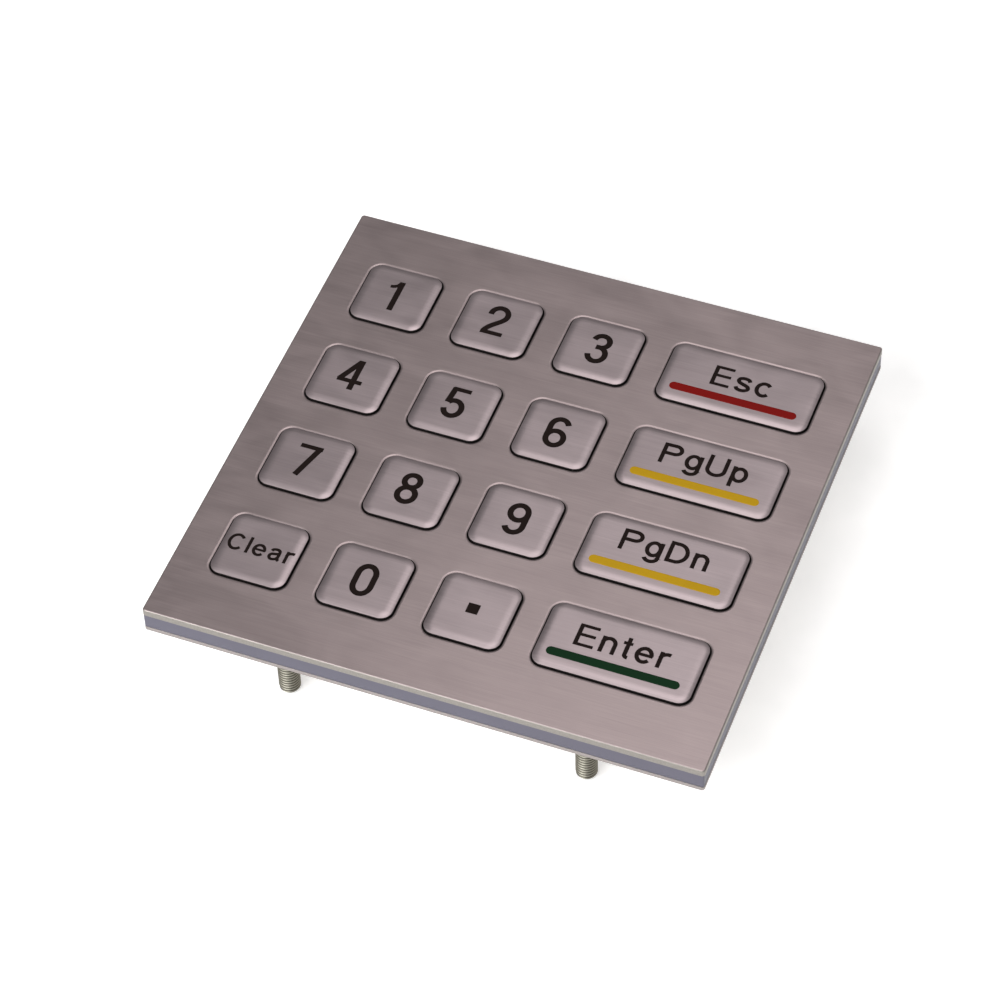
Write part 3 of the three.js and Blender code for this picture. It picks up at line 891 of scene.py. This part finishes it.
def filled(shape):
    """Triangles that cover overlapping polygons once: their points and their corners' indices."""
    points = [corner for polygon in shape for corner in polygon]
    faces, start = [], 0
    for polygon in shape:
        faces.append(list(range(start, start + len(polygon))))
        start += len(polygon)
    places, _, triangles, _, _, _ = delaunay_2d_cdt(points, [], faces, 1, 1e-5, False)
    middles = [(places[a] + places[b] + places[c]) / 3 for a, b, c in triangles]
    return places, [corners for corners, middle in zip(triangles, middles)
                    if any(holds(polygon, middle) for polygon in shape)]


def legend(name):
    """A key's characters as thin closed solids, let into the key's top."""
    text, height, middle, baseline = LEGENDS[name]
    x, y, _, _, top = key_place(name)
    width = sum(CHARACTERS[character][0] for character in text) + LETTER_GAP * (len(text) - 1)
    pen_x = x + middle - width * height / 2
    shell = Shell()
    for character in text:
        advance, strokes = CHARACTERS[character]
        places, triangles = filled([triangle for pen, line in strokes
                                    for triangle in stroke_triangles(pen, line)])
        outline = [(pen_x + place.x * height, y + baseline + place.y * height) for place in places]
        upper = shell.ring(outline, top + LEGEND_PROUD)
        lower = shell.ring(outline, top - LEGEND_SUNK)
        directed = set()
        for a, b, c in triangles:
            shell.mesh.faces.new((upper[a], upper[b], upper[c]))
            shell.mesh.faces.new((lower[c], lower[b], lower[a]))
            directed |= {(a, b), (b, c), (c, a)}
        for a, b in sorted(directed):
            if (b, a) not in directed:
                shell.mesh.faces.new((lower[a], lower[b], upper[b], upper[a]))
        pen_x += (advance + LETTER_GAP) * height
    loose = [vertex for vertex in shell.mesh.verts if not vertex.link_faces]
    bmesh.ops.delete(shell.mesh, geom=loose, context="VERTS")
    shell.piece(f"{name}_legend", [LEGEND_FILL], name, "legend_fill")


def bar(name):
    """The enamelled bar under a wide key's word."""
    slot, enamel = BARS[name]
    x, y, _, _, top = key_place(name)
    outline = rounded_rectangle(x + BAR_X, y + BAR_Y, BAR_LENGTH, BAR_WIDTH, BAR_WIDTH / 2)
    shell = Shell()
    profile = roll_over(BAR_ROLL, BAR_TURN, top + BAR_PROUD) + [(0, top - LEGEND_SUNK)]
    rings = [shell.ring(outline(grow), z) for grow, z in profile]
    for upper, lower in zip(rings, rings[1:]):
        shell.wall(upper, lower)
    shell.cap(rings[0])
    shell.cap(rings[-1], down=True)
    shell.piece(f"{name}_bar", [enamel], name, slot)


# ---------------------------------------------------------------- camera and studio

def camera():
    data = bpy.data.cameras.new("camera")
    data.lens = CAMERA_LENS
    data.clip_end = 10
    eye = bpy.data.objects.new("camera", data)
    SCENE.collection.objects.link(eye)
    SCENE.camera = eye
    face = Vector((0, 0, FACE_Z))
    place = (face + CAMERA_FROM_FACE) * MM
    aim = (face + CAMERA_AIM) * MM
    turn = (aim - place).to_track_quat("-Z", "Y").to_matrix().to_4x4()
    roll = Matrix.Rotation(math.radians(CAMERA_ROLL), 4, "Z")
    eye.matrix_world = Matrix.Translation(place) @ turn @ roll


def softbox(name, place, aim, width, depth, power, color):
    data = bpy.data.lights.new(name, "AREA")
    data.shape = "RECTANGLE"
    data.size, data.size_y = width * MM, depth * MM
    data.energy = power
    data.color = color
    light = bpy.data.objects.new(name, data)
    SCENE.collection.objects.link(light)
    start, end = Vector(place) * MM, Vector(aim) * MM
    turn = (end - start).to_track_quat("-Z", "Y").to_matrix().to_4x4()
    light.matrix_world = Matrix.Translation(start) @ turn


def sky():
    """Soft light from all round, strongest from the front right and overhead."""
    world = bpy.data.worlds.new("studio")
    SCENE.world = world
    world.use_nodes = True
    tree = world.node_tree
    direction = tree.nodes.new("ShaderNodeTexCoord").outputs["Generated"]
    slope = tree.nodes.new("ShaderNodeVectorMath")
    slope.operation = "DOT_PRODUCT"
    tree.links.new(direction, slope.inputs[0])
    slope.inputs[1].default_value = SKY_AXIS
    strength = tree.nodes.new("ShaderNodeMapRange")
    strength.interpolation_type = "SMOOTHSTEP"
    Nodes.set(strength, {"From Min": SKY_DARK_SLOPE, "From Max": SKY_LIGHT_SLOPE,
                         "To Min": SKY_DARK, "To Max": SKY_LIGHT})
    tree.links.new(slope.outputs["Value"], strength.inputs["Value"])
    background = tree.nodes["Background"]
    background.inputs["Color"].default_value = SKY_COLOR
    tree.links.new(strength.outputs["Result"], background.inputs["Strength"])


def studio():
    SCENE.view_settings.view_transform = "Standard"
    sky()
    for name, settings in SOFTBOXES.items():
        softbox(name, *settings)
    floor = Shell()
    ring = floor.ring(circle(0, 0, FLOOR_RADIUS)(), FLOOR_Z)
    floor.cap(ring)
    data = bpy.data.meshes.new("floor")
    floor.mesh.to_mesh(data)
    floor.mesh.free()
    data.materials.append(moulded("pale_floor", FLOOR_COLOR, 0.7, 300, 0.002, **FLOOR_GLOW))
    sweep = bpy.data.objects.new("floor", data)
    SCENE.collection.objects.link(sweep)


camera()
studio()
front_panel()
spacer()
back_plate()
header()
for stud_name in STUDS:
    stud(stud_name)
for screw_name in SCREWS:
    screw(screw_name)
for pin_name in PINS:
    pin(pin_name)
for key_name in KEY_NAMES:
    key_cap(key_name)
    legend(key_name)
    dome(key_name)
for key_name in BARS:
    bar(key_name)

for node_name, material in (("silicone_mat", SILICONE), ("circuit_board", BOARD_MASK)):
    carried = frame["nodes"][node_name]
    carried.data.materials.clear()
    carried.data.materials.append(material)
